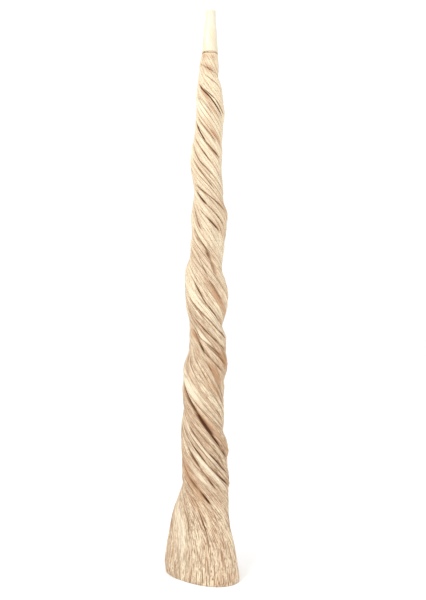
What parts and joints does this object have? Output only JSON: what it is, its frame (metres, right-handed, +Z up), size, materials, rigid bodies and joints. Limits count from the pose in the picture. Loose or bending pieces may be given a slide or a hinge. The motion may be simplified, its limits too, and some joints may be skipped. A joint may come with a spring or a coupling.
{
  "type": "shofar",
  "caption": "Straight spiral-twisted ram or antelope horn with a flared oval bell and a pull-out mouthpiece, blown as a natural trumpet.",
  "frame": {"origin": "centre of the bell's rim, in the plane that the rim stands on", "axes": "+Z up along the horn from bell to lip, +X along the bell's longer width, +Y across it"},
  "size_m": [0.1038, 0.068, 0.7],
  "materials": {
    "raw_horn": "unpolished keratin, cream to tan with brown grooves, fine lengthwise grain",
    "smoothed_horn": "scraped and smoothed keratin, pale cream, satin",
    "waxed_thread": "brown waxed linen thread",
    "dark_wax": "dull dark brown sealing wax"
  },
  "bodies": {
    "horn": {"horn_body": "raw_horn", "wax_seal": "dark_wax"},
    "mouthpiece": {"mouthpiece": "smoothed_horn", "thread_lapping": "waxed_thread"}
  },
  "joints": [
    {"name": "mouthpiece_pull", "type": "slide", "parent": "horn", "child": "mouthpiece", "axis": [0, 0, 1], "range_m": [0, 0.032]}
  ]
}
